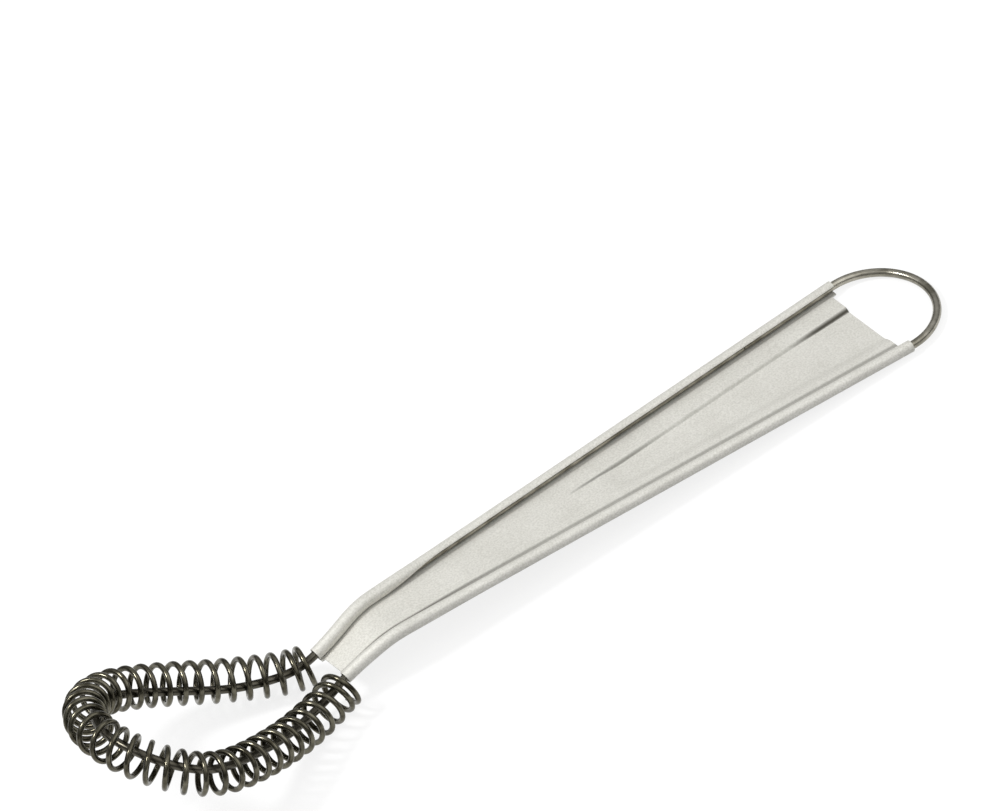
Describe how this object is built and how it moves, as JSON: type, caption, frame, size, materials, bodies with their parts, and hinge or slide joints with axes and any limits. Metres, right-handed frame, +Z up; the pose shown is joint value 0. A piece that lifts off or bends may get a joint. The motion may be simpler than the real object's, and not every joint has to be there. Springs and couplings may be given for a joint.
{
  "type": "spoon whisk",
  "caption": "Hand whisk with a coil spring threaded on a spoon-shaped wire loop, a tapered sheet handle rolled round the wire, and a hanging loop.",
  "frame": {"origin": "middle of the bounding box's bottom, on the surface that the whisk lies on", "axes": "+X from the coiled head to the hanging loop, +Z up, +Y to the left seen from the hanging loop's end towards the head's back"},
  "size_m": [0.2479, 0.052, 0.0363],
  "materials": {
    "frame_wire_steel": "bright drawn wire",
    "coil_wire_steel": "bright drawn spring wire",
    "sheet_steel": "satin sheet"
  },
  "bodies": {
    "frame": {"head_wire": "frame_wire_steel", "hanging_loop": "frame_wire_steel", "handle_plate": "sheet_steel"},
    "coil": {"whisk_coil": "coil_wire_steel"}
  },
  "joints": [
    {"name": "coil_float", "type": "slide", "parent": "frame", "child": "coil", "axis": [0, 0, 1], "range_m": [-0.0012, 0]}
  ]
}
